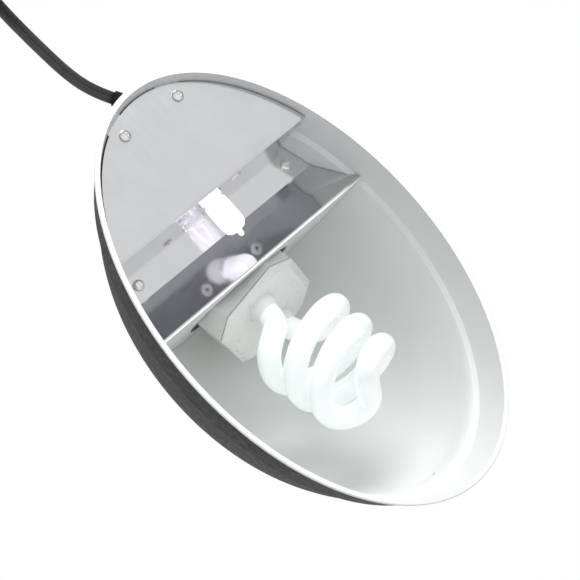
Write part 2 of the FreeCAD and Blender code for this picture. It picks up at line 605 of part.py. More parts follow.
cap_top = "-case_back"
thread_rows = 5
thread_outline = [("0", cap_top), ("screw_cap_neck", cap_top), ("screw_cap_neck", "-case_back - 1.5")]
for row in range(thread_rows):
    level = "-case_back - 2.4 - %d * thread_pitch" % row
    thread_outline += [("screw_cap_radius - 0.7", level),
                       ("screw_cap_radius", level + " - 0.3 * thread_pitch"),
                       ("screw_cap_radius", level + " - 0.55 * thread_pitch"),
                       ("screw_cap_radius - 0.7", level + " - 0.85 * thread_pitch")]
thread_outline += [("insulator_radius + 2", "-case_back - screw_cap"), ("0", "-case_back - screw_cap")]
screw_cap_hollow = rod("screw_cap_hollow", "screw_cap_radius - 1.6", "screw_cap - 2.2",
                       ("0", "0", "2.2 - case_back - screw_cap"))
node("cfl_screw_cap", on_lamp_axis(cut("screw_cap_solid", turned("screw_cap_body", thread_outline),
                                       screw_cap_hollow)))
node("cfl_cap_insulator", on_lamp_axis(turned("insulator_body", (
    ("0", "-case_back - screw_cap"), ("insulator_radius + 1.6", "-case_back - screw_cap"),
    ("tip_radius + 0.4", "-case_back - screw_cap - insulator"),
    ("0", "-case_back - screw_cap - insulator")))))
tip_top = "-case_back - screw_cap - insulator - tip_gap"
node("cfl_tip_contact", on_lamp_axis(turned("tip_body", (
    ("0", tip_top), ("tip_radius", tip_top), ("tip_radius * 0.8", tip_top + " - 0.7 * tip"),
    ("tip_radius * 0.35", tip_top + " - tip"), ("0", tip_top + " - tip")))))


def lamp_frame():
    """The spiral lamp's placement, worked out for shapes made point by point."""
    base = Vector(number("lamp_place"), 0, number("shell_height") - number("lamp_drop"))
    return Placement(base, Rotation(Vector(0, 1, 0), 90 + number("lamp_tilt")))


def around(radius, degrees, height):
    angle = math.radians(degrees)
    return Vector(radius * math.cos(angle), radius * math.sin(angle), height)


def spiral_points():
    """Corner points of one half of the double spiral, from its leg to the middle of the tip."""
    corners = 8
    step = 360.0 / corners
    widen = 0.965 / math.cos(math.radians(step / 2))
    leg, leg_angle = number("leg_radius"), number("leg_angle")
    points = [around(leg, leg_angle, 0), around(leg, leg_angle, 0.46 * number("coil_start")),
              around(0.7 * number("coil_radius"), leg_angle + 14, 0.76 * number("coil_start"))]
    count = int(round(number("coil_turns") * corners))
    for i in range(count + 1):
        radius = number("coil_radius") * (1 - number("coil_taper") * i / corners) * widen
        points.append(around(radius, number("coil_phase") + i * step,
                             number("coil_start") + number("coil_pitch") * i / corners))
    points.append(around(0.64 * number("coil_radius"), number("coil_phase") + count * step + 42,
                         number("coil_tip")))
    return points


half_spiral = spiral_points()
other_half = [Vector(-p.x, -p.y, p.z) for p in reversed(half_spiral)]
spiral = tube("spiral", half_spiral + other_half, number("tube_radius"),
              number("tube_radius") - number("tube_wall"))
spiral.Placement = lamp_frame()
node("cfl_tube", spiral)
collars = []
for i, turn in enumerate(("0", "180")):
    collar_body = turned("collar_%d" % i, (
        ("tube_radius", "0"), ("collar_radius", "0"), ("collar_radius - 0.2", "collar * 0.4"),
        ("collar_radius - 0.9", "collar * 0.75"), ("tube_radius + 0.5", "collar"), ("tube_radius", "collar")))
    collars.append(place(collar_body, "leg_radius * cos(leg_angle + %s)" % turn,
                         "leg_radius * sin(leg_angle + %s)" % turn, "0"))
node("cfl_tube_collars", on_lamp_axis(group("collar_pair", collars)))

# ---- lamp socket ----------------------------------------------------------------------------
tip_end = "(case_back + screw_cap + insulator + tip_gap + tip)"
spring_top = "-%s - spring_gap" % tip_end
socket_end = "(%s + spring_gap + spring + socket_floor)" % tip_end
node("socket_centre_contact", on_lamp_axis(group("spring_part", [
    middle_box("spring_leaf", ("0", "0", spring_top + " - spring"), ("7", "16", "spring"))])))
shell_in = "(screw_cap_radius + socket_play)"
node("socket_screw_shell", on_lamp_axis(turned("socket_shell_body", (
    (shell_in, "-socket_mouth - 1.2"), (shell_in + " + socket_shell", "-socket_mouth - 1.2"),
    (shell_in + " + socket_shell", spring_top + " - spring"),
    ("insulator_radius + 4", spring_top + " - spring"),
    ("insulator_radius + 4", spring_top + " - spring + socket_shell"),
    (shell_in, spring_top + " - spring + socket_shell")))))
node("socket_body", on_lamp_axis(turned("socket_body_turned", (
    ("0", "-" + socket_end), ("socket_radius - 1", "-" + socket_end), ("socket_radius", "1 - " + socket_end),
    ("socket_radius", "-socket_mouth - 0.8"), ("socket_radius - 0.8", "-socket_mouth"),
    (shell_in + " + socket_shell", "-socket_mouth"), (shell_in + " + socket_shell", spring_top + " - spring"),
    ("0", spring_top + " - spring")))))

back_plate = on_lamp_axis(group("back_plate_turned", [box(
    "back_plate", ("-socket_radius - 7.5", "-strap_width / 2", "-%s - bracket" % socket_end),
    ("socket_radius + 17.5", "strap_width", "bracket"))]))
strap_low = "shell_height - (%s) - bracket" % TOTAL_WALL
strap = box("strap", ("strap_start", "-strap_width / 2", strap_low),
            ("strap_end - strap_start", "strap_width", "bracket"))
strap_root = box("strap_root", ("strap_start - 2", "-strap_width / 4", strap_low + " - 2.6"),
                 ("10", "strap_width / 2", "bracket + 2.6"))
bent = common("bracket_inside", fuse("bracket_whole", back_plate, strap, strap_root), liner_inside)
node("socket_bracket", cut("socket_bracket_solid", bent, *strap_holes))
nuts = []
for i, x in enumerate(("strap_screw_one", "strap_screw_two")):
    hexagon = doc.addObject("Part::RegularPolygon", "hexagon_%d" % i)
    hexagon.Polygon = 6
    bind(hexagon, {"Circumradius": "nut_radius"})
    prism = doc.addObject("Part::Extrusion", "prism_%d" % i)
    prism.Base = hexagon
    prism.Dir = Vector(0, 0, 1)
    prism.Solid = True
    bind(prism, {"LengthFwd": "nut"})
    bore = rod("nut_bore_%d" % i, "screw_radius", "10", ("0", "0", "-2"))
    nuts.append(place(cut("nut_%d" % i, prism, bore), x, "0", strap_low + " - nut"))
node("socket_nuts", group("nut_pair", nuts))

# ---- wiring ---------------------------------------------------------------------------------
lamp_place = lamp_frame()
sleeve_end = Vector(6 - number("rim_half_length") + number("bushing_inner"), number("exit_side"),
                    number("exit_height"))
socket_back = -(number("case_back") + number("screw_cap") + number("insulator") + number("tip_gap")
                + number("tip") + number("spring_gap") + number("spring") + number("socket_floor"))
holder_end = -(2 * number("sheet") + number("holder_length"))
WIRE = 0.9
for colour, side in (("black", 1), ("white", -1)):
    start = sleeve_end + Vector(0, side * 2.0, 0)
    splice = Vector(-88, side * 30, 24)
    below = Vector(0, 0, -5)
    feed = tube("feed_" + colour, [start, start + Vector(5, 0, 0), splice - Vector(12, side * 12, 9),
                                   splice + below + Vector(-1, 0, -1), splice + below / 2, splice], WIRE)
    halogen_end = local_to_capsule(holder_end, side * 4.5)
    drop_start = splice + Vector(2.4, 0, 0)
    drop = tube("drop_" + colour, [
        drop_start, drop_start + below, splice + Vector(1, side * -12, -9),
        halogen_end + Vector(-5, side * 3, -2), halogen_end + Vector(-2.5, 0, 0), halogen_end], WIRE)
    socket_end_point = lamp_place.multVec(Vector(6.0, side * 12.0, socket_back))
    way = lamp_place.Rotation.multVec(Vector(0, 0, -1))
    rise_start = splice + Vector(-2.4, 0, 0)
    rise = tube("rise_" + colour, [
        rise_start, rise_start + below, splice + Vector(-10, side * 3, -4),
        splice + Vector(-10, side * 2, 10), splice + Vector(-4, side * -3, 28),
        socket_end_point + way * 9 + Vector(0, side * 2, -8),
        socket_end_point + way * 4, socket_end_point], WIRE)
    node("wires_" + colour, group("wires_%s_group" % colour, [feed, drop, rise]))
    nut_body = turned("wire_nut_" + colour, (
        ("0", "0"), ("4.6", "0"), ("4.8", "3"), ("3.2", "13"), ("2.2", "15"), ("0", "15")))
    nut_body.Placement = Placement(splice, Rotation())
wire_nuts = group("wire_nut_pair", [doc.getObject("wire_nut_black"), doc.getObject("wire_nut_white")])
node("wire_nuts", wire_nuts)

# ---- power cord -----------------------------------------------------------------------------
COIL_CENTRE = Vector(-240.0, -20.9, 0)
REST = number("cord_thick") / 2 + number("tie")
CORD_ROUTE = [
    CORD_EXIT,
    CORD_EXIT + nozzle_way * 8.5,
    Vector(-153.4, 16.3, 11.6),
    Vector(-174.0, 20.0, 8.4),
    Vector(-203.0, 24.4, REST),
    Vector(-233.0, 22.0, REST),
]


def flat_tube(name, points, width, thick):
    """A flat cord along a rounded route, made run by run and arc by arc."""
    wire, radii = rounded_route(points)
    pieces = []
    for edge in wire.OrderedEdges:
        start, way = edge.valueAt(edge.FirstParameter), edge.tangentAt(edge.FirstParameter)
        face = cord_face(start, way, width, thick)
        pieces.append(Part.Wire(edge).makePipe(face))
    solid = pieces[0].multiFuse(pieces[1:]).removeSplitter()
    solid = solid.Solids[0] if len(solid.Solids) == 1 else solid
    thing = doc.addObject("Part::Feature", name)
    thing.Shape = solid
    section = (width - thick) * thick + math.pi * thick ** 2 / 4
    print("%-18s length %7.1f  volume ratio %.4f  radii %s" % (
        name, wire.Length, solid.Volume / (section * wire.Length), " ".join("%.1f" % r for r in radii)))
    return thing


coil = cut("coil_ring", rod("coil_whole", "cord_coil_radius", "cord_coil_height"),
           rod("coil_eye", "cord_coil_hole", "cord_coil_height + 2", ("0", "0", "-1")))
coil_at = ("%.1f" % COIL_CENTRE.x, "%.1f" % COIL_CENTRE.y)
place(coil, *coil_at, "tie")
node("cord_coil", coil)
cord = flat_tube("cord", CORD_ROUTE, number("cord_width"), number("cord_thick"))
node("power_cord", cut("cord_trimmed", cord, coil))
node("cord_tie", cut("tie_band", box("tie_whole", (
    "%s - cord_coil_radius - tie" % coil_at[0], "%s - 4" % coil_at[1], "0"),
    ("cord_coil_radius - cord_coil_hole + 2 * tie", "8", "cord_coil_height + 2 * tie")), coil))

# ---- plug -----------------------------------------------------------------------------------
plug_rings = lofted("plug_loft", (
    ("0", "cord_thick * 0.8", "cord_width * 0.8", "1"), ("9", "cord_thick * 0.9", "cord_width * 0.9", "1"),
    ("11", "plug_half_thick", "plug_half_width * 0.85", "2"),
    ("plug_length", "plug_half_thick", "plug_half_width", "2")))
blades = [middle_box("blade_%d" % i, ("0", side + "blade_side", "plug_length"),
                     ("blade_width", "blade_thick", "blade_length")) for i, side in enumerate(SIDES)]
plug_at = ("%s + 12" % coil_at[0], "%s + 35" % coil_at[1], "tie + cord_coil_height + plug_half_thick",
           (0, 1, 0), "-90")
node("plug_body", place(group("plug_part", [plug_rings]), *plug_at))
node("plug_blades", place(group("blade_pair", blades), *plug_at))

# ---- write ----------------------------------------------------------------------------------
doc.recompute()
for thing in doc.Objects:
    if "Invalid" in thing.State or "Error" in thing.State:
        raise RuntimeError("%s failed: %s" % (thing.Name, thing.State))
os.makedirs("parts", exist_ok=True)
for thing in PARTS:
    if thing.Shape.isNull() or not thing.Shape.isValid() or not thing.Shape.Solids:
        raise RuntimeError("%s has no valid solid" % thing.Label)
    thing.Shape.exportStep("parts/%s.step" % thing.Label)
    print("%-22s solids %d  volume %9.1f" % (thing.Label, len(thing.Shape.Solids), thing.Shape.Volume))
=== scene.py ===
"""Grow lamp: an oval hood with a spiral lamp and a small halogen lamp over mirror sheets."""

import json
import math

import bpy
from mathutils import Matrix, Quaternion, Vector


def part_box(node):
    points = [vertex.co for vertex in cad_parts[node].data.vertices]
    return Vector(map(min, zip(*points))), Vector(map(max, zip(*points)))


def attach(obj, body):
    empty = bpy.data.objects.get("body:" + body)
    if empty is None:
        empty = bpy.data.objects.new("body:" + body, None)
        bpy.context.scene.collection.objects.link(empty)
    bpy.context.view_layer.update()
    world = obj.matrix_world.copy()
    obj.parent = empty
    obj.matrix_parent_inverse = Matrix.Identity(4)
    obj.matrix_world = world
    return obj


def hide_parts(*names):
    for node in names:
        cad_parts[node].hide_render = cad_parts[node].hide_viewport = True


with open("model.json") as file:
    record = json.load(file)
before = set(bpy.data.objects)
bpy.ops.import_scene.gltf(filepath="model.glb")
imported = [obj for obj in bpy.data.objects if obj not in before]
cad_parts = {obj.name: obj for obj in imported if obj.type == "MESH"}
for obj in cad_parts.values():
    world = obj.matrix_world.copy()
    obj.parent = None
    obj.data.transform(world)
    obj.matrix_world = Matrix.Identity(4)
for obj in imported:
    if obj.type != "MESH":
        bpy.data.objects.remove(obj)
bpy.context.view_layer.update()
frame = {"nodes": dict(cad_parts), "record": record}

bl_info = {
    "name": "Grow Lamp Studio",
    "version": (1, 0, 0),
    "blender": (4, 5, 0),
    "location": "3D View > Sidebar > Grow Lamp",
    "description": "Finishes, lamp tubes, supply cord and studio of an oval grow lamp",
    "category": "Object",
}

MM = 0.001
HOOD_LOW, HOOD_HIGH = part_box("outer_shell")
HOOD_CENTRE = (HOOD_LOW + HOOD_HIGH) / 2


# ---- sizes and colours a user would change ---------------------------------------------------
def length(name, description, millimetres):
    return bpy.props.FloatProperty(name=name, description=description, default=millimetres * MM,
                                   min=0.0, subtype="DISTANCE", unit="LENGTH", precision=5)


def colour(name, description, rgb):
    return bpy.props.FloatVectorProperty(name=name, description=description, default=rgb, size=3,
                                         min=0.0, max=1.0, subtype="COLOR")


def strength(name, description, value):
    return bpy.props.FloatProperty(name=name, description=description, default=value, min=0.0)


class GrowLampHood(bpy.types.PropertyGroup):
    """Finishes of the hood and of the sheets inside it."""
    coat: colour("Coat", "Powder coat of the bowl", (0.040, 0.043, 0.038))
    # The skirt colour is painted shade: the skirt below the ledge is drawn darker than the bowl to stand in
    # for the shade that falls on it.
    skirt_painted_shade: colour("Skirt painted shade", "Powder coat of the skirt below the ledge", (0.018, 0.019, 0.0175))
    coat_grain: length("Coat grain", "Size of the bumps in the powder coat", 0.9)
    ledge_height: length("Ledge height", "Where the bowl starts above the rim", 27.2)
    enamel: colour("Enamel", "White enamel inside the hood", (0.78, 0.80, 0.785))
    mirror: colour("Mirror", "Polished cover and trough sheet", (0.635, 0.64, 0.655))


class GrowLampSpiral(bpy.types.PropertyGroup):
    """Sizes and glow of the spiral lamp's tube, in the lamp's own axes."""
    tube_radius: length("Tube radius", "Outer radius of the glass tube", 6.25)
    coil_radius: length("Coil radius", "Radius of the coil at its base", 26.6)
    coil_taper: bpy.props.FloatProperty(name="Coil taper", default=0.09, min=0.0, max=0.3,
                                        description="Share of the radius lost in each turn")
    coil_start: length("Coil start", "Height of the first full radius above the cap", 23.4)
    coil_pitch: length("Coil pitch", "Rise of one arm in each turn", 34.1)
    coil_tip: length("Coil tip", "Height of the tube where both arms meet", 71.5)
    coil_phase: bpy.props.FloatProperty(name="Coil phase", default=math.radians(63.0), subtype="ANGLE",
                                        description="Direction of the first full radius")
    leg_angle: bpy.props.FloatProperty(name="Leg angle", default=math.radians(25.0), subtype="ANGLE",
                                       description="Direction of the first leg")
    leg_radius: length("Leg radius", "Distance of each leg from the axis", 13.0)
    glow: strength("Glow", "Light given off by the coated glass", 0.36)
    glow_colour: colour("Glow colour", "Tint of the light", (0.95, 1.0, 0.985))


class GrowLampCapsule(bpy.types.PropertyGroup):
    """Glow of the halogen lamp."""
    glow: strength("Glow", "Light given off by the quartz capsule", 0.34)
    glow_colour: colour("Glow colour", "Tint of the light", (1.0, 0.97, 1.0))
    filament: strength("Filament", "Light given off by the filament", 4.0)


class GrowLampCord(bpy.types.PropertyGroup):
    """Sizes of the flat supply cord and its put-away coil."""
    length: length("Length", "From the bushing to the plug", 1750.0)
    width: length("Width", "Across both conductors", 6.6)
    thickness: length("Thickness", "Across one conductor", 3.5)
    tie: length("Tie", "Thickness of the strap around the coil", 0.5)
    layer: length("Layer", "Rise from one layer of the coil to the next", 4.0)
    jacket: colour("Jacket", "Cord jacket", (0.11, 0.111, 0.113))


class GrowLampStudio(bpy.types.PropertyGroup):
    """Camera, floor and light."""
    distance: length("Distance", "From the camera to the lamp", 848.0)
    focal_length: bpy.props.FloatProperty(name="Focal length", default=101.5, min=20.0,
                                          description="Lens in millimetres on a 36 mm sensor")
    floor: colour("Floor", "Floor sheet", (0.86, 0.86, 0.86))
    ambient: strength("Ambient", "Soft light from all round", 0.98)
    key: strength("Key light", "Watts of the large soft light", 15.0)


SETTINGS = {
    "grow_lamp_hood": GrowLampHood,
    "grow_lamp_spiral": GrowLampSpiral,
    "grow_lamp_capsule": GrowLampCapsule,
    "grow_lamp_cord": GrowLampCord,
    "grow_lamp_studio": GrowLampStudio,
}


# ---- material helpers ------------------------------------------------------------------------
NOISE_LOW, NOISE_HIGH = 0.3, 0.7


def set_stops(ramp, stops):
    """Give a colour ramp its (position, colour) stops."""
    while len(ramp.elements) < len(stops):
        ramp.elements.new(0.5)
    for element, (position, rgb) in zip(ramp.elements, stops):
        element.position = position
        element.color = (*rgb, 1.0)


class Finish:
    """A material being put together around one Principled shader."""

    def __init__(self, name, base, roughness=0.5, metallic=0.0, **sockets):
        self.material = bpy.data.materials.new(name)
        self.material.use_nodes = True
        self.tree = self.material.node_tree
        self.shader = self.tree.nodes["Principled BSDF"]
        self.base = (*base, 1.0)
        self.shader.inputs["Base Color"].default_value = self.base
        self.shader.inputs["Roughness"].default_value = roughness
        self.shader.inputs["Metallic"].default_value = metallic
        for socket, value in sockets.items():
            self.shader.inputs[socket.replace("_", " ")].default_value = value
        self.place = self.add("ShaderNodeTexCoord").outputs["Object"]

    def add(self, kind, **values):
        """A new node, with its sockets or its own settings given by name."""
        node = self.tree.nodes.new(kind)
        for name, value in values.items():
            if name in node.inputs:
                node.inputs[name].default_value = value
            else:
                setattr(node, name, value)
        return node

    def link(self, start, end):
        self.tree.links.new(start, end)

    def noise(self, size, detail=2.0, stretch=None):
        """Soft noise whose lumps are about size across, drawn out along an axis by stretch."""
        place = self.place
        if stretch:
            mapping = self.add("ShaderNodeMapping")
            mapping.inputs["Scale"].default_value = stretch
            self.link(place, mapping.inputs["Vector"])
            place = mapping.outputs["Vector"]
        node = self.add("ShaderNodeTexNoise", Scale=1.0 / size, Detail=detail)
        self.link(place, node.inputs["Vector"])
        return node.outputs["Fac"]

    def spread(self, fac, low, high):
        """A value from low to high over the part of the range that noise fills."""
        node = self.add("ShaderNodeMapRange")
        node.inputs["From Min"].default_value = NOISE_LOW
        node.inputs["From Max"].default_value = NOISE_HIGH
        node.inputs["To Min"].default_value = low
        node.inputs["To Max"].default_value = high
        self.link(fac, node.inputs["Value"])
        return node.outputs["Result"]

    def ramp(self, fac, stops):
        """Colours at positions along fac."""
        node = self.add("ShaderNodeValToRGB")
        set_stops(node.color_ramp, stops)
        self.link(fac, node.inputs["Fac"])
        return node.outputs["Color"]

    def mottle(self, fac, amount):
        """Vary the base colour a little lighter and darker with fac."""
        rgb = self.base[:3]
        darker = tuple(c * (1 - amount) for c in rgb)
        lighter = tuple(min(1.0, c * (1 + amount)) for c in rgb)
        stops = ((NOISE_LOW, darker), (NOISE_HIGH, lighter))
        self.link(self.ramp(fac, stops), self.shader.inputs["Base Color"])

    def rough(self, fac, low, high):
        """Vary the roughness from low to high with fac."""
        self.link(self.spread(fac, low, high), self.shader.inputs["Roughness"])

    def bumps(self, fac, depth, strength=0.5):
        """Raise the surface by up to depth with fac."""
        node = self.add("ShaderNodeBump", Distance=depth, Strength=strength)
        self.link(fac, node.inputs["Height"])
        self.link(node.outputs["Normal"], self.shader.inputs["Normal"])

    def glow(self, rgb, strength):
        self.shader.inputs["Emission Color"].default_value = (*rgb, 1.0)
        self.shader.inputs["Emission Strength"].default_value = strength


def coat(material, *nodes):
    """Give a finish to CAD nodes."""
    for name in nodes:
        node = frame["nodes"][name]
        if not node.material_slots:
            node.data.materials.append(material)
        for slot in node.material_slots:
            slot.material = material


def moulded(name, rgb, roughness, grain=0.6, depth=0.02, **sockets):
    """Moulded plastic, rubber or ceramic: fine grain, and mottling that is fainter on pale colours."""
    finish = Finish(name, rgb, roughness, **sockets)
    pale = min(rgb) > 0.5
    finish.mottle(finish.noise(14 * MM, 3.0), 0.015 if pale else 0.08)
    finish.rough(finish.noise(5 * MM, 3.0), roughness - 0.06, roughness + 0.08)
    finish.bumps(finish.noise(grain * MM, 2.0), depth * MM)
    return finish.material


def metal(name, rgb, roughness, stretch=(1.0, 1.0, 1.0), scratch=0.35, depth=0.006):
    """Metal with drawn-out rolling marks."""
    finish = Finish(name, rgb, roughness, metallic=1.0)
    finish.mottle(finish.noise(20 * MM, 2.0), 0.03)
    smoothest, roughest = max(0.02, roughness * 0.7), roughness * 1.35
    finish.rough(finish.noise(scratch * MM, 4.0, stretch), smoothest, roughest)
    finish.bumps(finish.noise(scratch * MM, 3.0, stretch), depth * MM, 0.4)
    return finish.material


# ---- mesh helpers ----------------------------------------------------------------------------
def make_piece(mesh, material, body="root", smooth=True):
    """An object of the mesh's name that rides on a body and takes a slot's finish."""
    piece = bpy.data.objects.new(mesh.name, mesh)
    bpy.context.scene.collection.objects.link(piece)
    mesh.materials.append(material)
    if smooth:
        mesh.shade_smooth()
    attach(piece, body)
    return piece


def skin(name, rings, closed_ends=True):
    """A mesh through rings of equally many points."""
    count = len(rings[0])
    verts = [tuple(p) for ring in rings for p in ring]
    faces = []
    for i in range(len(rings) - 1):
        for j in range(count):
            k = (j + 1) % count
            faces.append((i * count + j, i * count + k, (i + 1) * count + k, (i + 1) * count + j))
    if closed_ends:
        faces.append(tuple(reversed(range(count))))
        faces.append(tuple((len(rings) - 1) * count + j for j in range(count)))
    mesh = bpy.data.meshes.new(name)
    mesh.from_pydata(verts, [], faces)
    mesh.validate()
    mesh.update()
    return mesh


def nurbs_line(points, order=3, finer=8):
    """Points along the smooth line that a NURBS spline makes of its control points."""
    data = bpy.data.curves.new("line", "CURVE")
    data.dimensions = "3D"
    data.resolution_u = finer
    spline = data.splines.new("NURBS")
    spline.points.add(len(points) - 1)
    for target, point in zip(spline.points, points):
        target.co = (*point, 1.0)
    spline.order_u = order
    spline.use_endpoint_u = True
    holder = bpy.data.objects.new("line", data)
    mesh = bpy.data.meshes.new_from_object(holder)
    line = [v.co.copy() for v in mesh.vertices]
    bpy.data.objects.remove(holder)
    bpy.data.curves.remove(data)
    bpy.data.meshes.remove(mesh)
    return line


def ways(line):
    """Direction of a line at each of its points."""
    last = len(line) - 1
    return [(line[min(i + 1, last)] - line[max(i - 1, 0)]).normalized() for i in range(len(line))]


def circle(count):
    """Angles evenly round a circle."""
    return [math.tau * i / count for i in range(count)]


def rounded(angle, power):
    """Across and up of a superellipse's point: power 1 gives a circle, and a lower one is squarer."""
    c, s = math.cos(angle), math.sin(angle)
    return math.copysign(abs(c) ** power, c), math.copysign(abs(s) ** power, s)


def swept_level(line, outline):
    """Rings of an outline (across, up) along a line, its across direction kept level."""
    rings = []
    for point, way in zip(line, ways(line)):
        across = Vector((0, 0, 1)).cross(way).normalized()
        up = way.cross(across).normalized()
        rings.append([point + across * a + up * b for a, b in outline])
    return rings


def swept_round(line, radius, sides):
    """Rings of a round tube along a line, carried on without twist."""
    directions = ways(line)
    across = directions[0].orthogonal().normalized()
    rings, before = [], directions[0]
    for point, way in zip(line, directions):
        across = before.rotation_difference(way) @ across
        up = way.cross(across).normalized()
        before = way
        rings.append([point + (across * math.cos(a) + up * math.sin(a)) * radius for a in circle(sides)])
    return rings


def rounded_outline(half_width, half_height, power, count=32):
    """A rounded rectangle of (across, up) points, with none on its axes."""
    points = []
    for i in range(count):
        across, up = rounded(math.tau * (i + 0.5) / count, 2 / power)
        points.append((across * half_width, up * half_height))
    return points


# ---- supply cord -----------------------------------------------------------------------------
# Control points, in metres: out of the bushing and down to the floor, then from the coil up to the plug.
CORD_LEAD = (
    (-0.133135, 0.006595, 0.0122),
    (-0.140264, 0.011224, 0.0122),
    (-0.1534, 0.0163, 0.0116),
    (-0.1740, 0.0200, 0.0084),
    (-0.2030, 0.0244, 0.0024),
    (-0.2290, 0.0224, 0.0024),
)
CORD_TAIL = (
    (-0.1963, -0.0209, 0.0108),
    (-0.1981, -0.0070, 0.0124),
    (-0.2041, 0.0034, 0.0148),
    (-0.2130, 0.0106, 0.0170),
    (-0.2236, 0.0139, 0.0184),
    (-0.2297, 0.0141, 0.0185),
)
COIL_CENTRE = Vector((-0.2400, -0.0209, 0.0))
OUTER, MIDDLE, INNER = 0.0429, 0.0363, 0.0297
# Radius and layer at the start and at the end of each turn.
COIL_TURNS = (
    (OUTER, MIDDLE, 0, 0), (MIDDLE, INNER, 0, 0), (INNER, INNER, 0, 1),
    (INNER, MIDDLE, 1, 1), (MIDDLE, OUTER, 1, 1), (OUTER, OUTER, 1, 2),
    (OUTER, OUTER, 2, 2),
)
STEPS_IN_A_TURN = 16
STEPS_IN_LAST_TURN = 12
SHIFT_START, RISE_START = 0.36, 0.80


def eased(share, start, end):
    """From 0 at start to 1 at end, level at both."""
    t = min(1.0, max(0.0, (share - start) / (end - start)))
    return t * t * (3 - 2 * t)


def cord_coil_points(settings):
    """Turns side by side in layers: inwards, outwards, then one open turn on top."""
    low = settings.tie + settings.thickness / 2
    step = math.tau / STEPS_IN_A_TURN
    outwards = 1.0 / math.cos(step / 2)
    points = []
    for turn, (radius, next_radius, layer, next_layer) in enumerate(COIL_TURNS):
        last = turn == len(COIL_TURNS) - 1
        for i in range(STEPS_IN_LAST_TURN if last else STEPS_IN_A_TURN):
            share = i / STEPS_IN_A_TURN
            wide = radius + (next_radius - radius) * eased(share, SHIFT_START, RISE_START)
            level = layer + (next_layer - layer) * eased(share, RISE_START, 1.0)
            angle = math.pi / 2 + share * math.tau
            points.append(COIL_CENTRE + Vector((math.cos(angle) * wide * outwards,
                                                math.sin(angle) * wide * outwards,
                                                low + level * settings.layer)))
    return points


def twin_outline(width, thickness, sides=12):
    """Two round conductors side by side with a groove between them."""
    radius = thickness / 2
    reach = width / 2 - radius
    opening = math.acos(-reach / radius)
    points = []
    for side in (1, -1):
        for i in range(sides + 1):
            angle = opening - 2 * opening * i / sides
            if side == 1:
                points.append((reach + radius * math.cos(angle), radius * math.sin(angle)))
            else:
                points.append((-reach - radius * math.cos(angle), -radius * math.sin(angle)))
    return points


def jacket_finish(settings):
    """Satin jacket with faint streaks of wear."""
    finish = Finish("cord_jacket", settings.jacket, 0.34)
    finish.mottle(finish.noise(9 * MM, 3.0), 0.15)
    finish.rough(finish.noise(3 * MM, 4.0), 0.26, 0.42)
    finish.bumps(finish.noise(0.8 * MM, 2.0), 0.02 * MM, 0.3)
    return finish.material


class GROWLAMP_OT_supply_cord(bpy.types.Operator):
    """Lay the flat supply cord from the bushing to its coil, with its strap and plug"""
    bl_idname = "growlamp.supply_cord"
    bl_label = "Supply cord"

    def execute(self, context):
        settings = context.scene.grow_lamp_cord
        jacket = jacket_finish(settings)
        line = nurbs_line([*CORD_LEAD, *cord_coil_points(settings), *CORD_TAIL])
        outline = twin_outline(settings.width, settings.thickness)
        cord = make_piece(skin("supply_cord", swept_level(line, outline)), jacket)
        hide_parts("power_cord", "cord_coil")
        plug = self.plug(jacket)
        tie = self.tie(settings)
        coat(metal("blade_nickel", (0.72, 0.70, 0.66), 0.22), "plug_blades")
        return {"FINISHED"}

    def plug(self, jacket):
        """Moulded plug with a ribbed neck and a waisted grip, along -X."""
        low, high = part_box("plug_body")
        middle = (low + high) / 2
        # Distance along, half height and half width, in millimetres.
        stations = [(0.0, 2.4, 3.7), (0.8, 3.0, 4.5)]
        for rib in range(4):
            start, swell = 1.2 + rib * 2.0, 0.12 * rib
            raised, sunk = (3.0 + swell, 4.6 + swell * 2), (2.5 + swell, 4.0 + swell * 2)
            stations += [(start, *raised), (start + 0.9, *raised),
                         (start + 1.1, *sunk), (start + 1.8, *sunk)]
        stations += [(9.4, 3.6, 5.6), (10.6, 5.2, 7.4), (12.2, 5.9, 8.3), (16.0, 5.4, 8.3),
                     (20.0, 5.4, 8.8), (24.0, 5.9, 9.4), (26.2, 5.9, 9.4), (26.8, 5.6, 9.1),
                     (27.0, 5.0, 8.5)]
        rings = []
        for along, half_tall, half_wide in stations:
            outline = rounded_outline(half_wide * MM, half_tall * MM, 3.2)
            rings.append([Vector((high.x - along * MM, middle.y + a, middle.z + b)) for a, b in outline])
        plug = make_piece(skin("plug_moulding", rings), jacket)
        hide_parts("plug_body")
        return plug

    def tie(self, settings):
        """Thin flat strap closed round the coil's cords, its edges rounded over."""
        low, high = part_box("cord_tie")
        middle = (low + high) / 2
        finish = Finish("strap_weave", (0.03, 0.03, 0.032), 0.8, Sheen_Weight=0.3)
        wave = finish.add("ShaderNodeTexWave", Scale=900.0, Distortion=2.0)
        finish.link(finish.place, wave.inputs["Vector"])
        finish.bumps(wave.outputs["Fac"], 0.15 * MM, 0.6)
        half_x, half_z = (high.x - low.x) / 2, (high.z - low.z) / 2
        centre = Vector((middle.x, 0, middle.z))
        edge, far = low.y + 0.3 * MM, high.y - 0.3 * MM
        steps = 48
        rings = []
        for i in range(steps + 1):
            across, up = rounded(math.tau * i / steps, 0.35)
            outer = Vector((across * half_x, 0, up * half_z))
            inner = Vector((outer.x * (1 - settings.tie / half_x), 0,
                            outer.z * (1 - settings.tie / half_z)))
            rings.append([centre + side + Vector((0, y, 0))
                          for side, y in ((outer, edge), (outer, far), (inner, high.y), (inner, low.y))])
        tie = make_piece(skin("coil_strap", rings, closed_ends=False), finish.material,
                         smooth=False)
        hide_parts("cord_tie")
        return tie


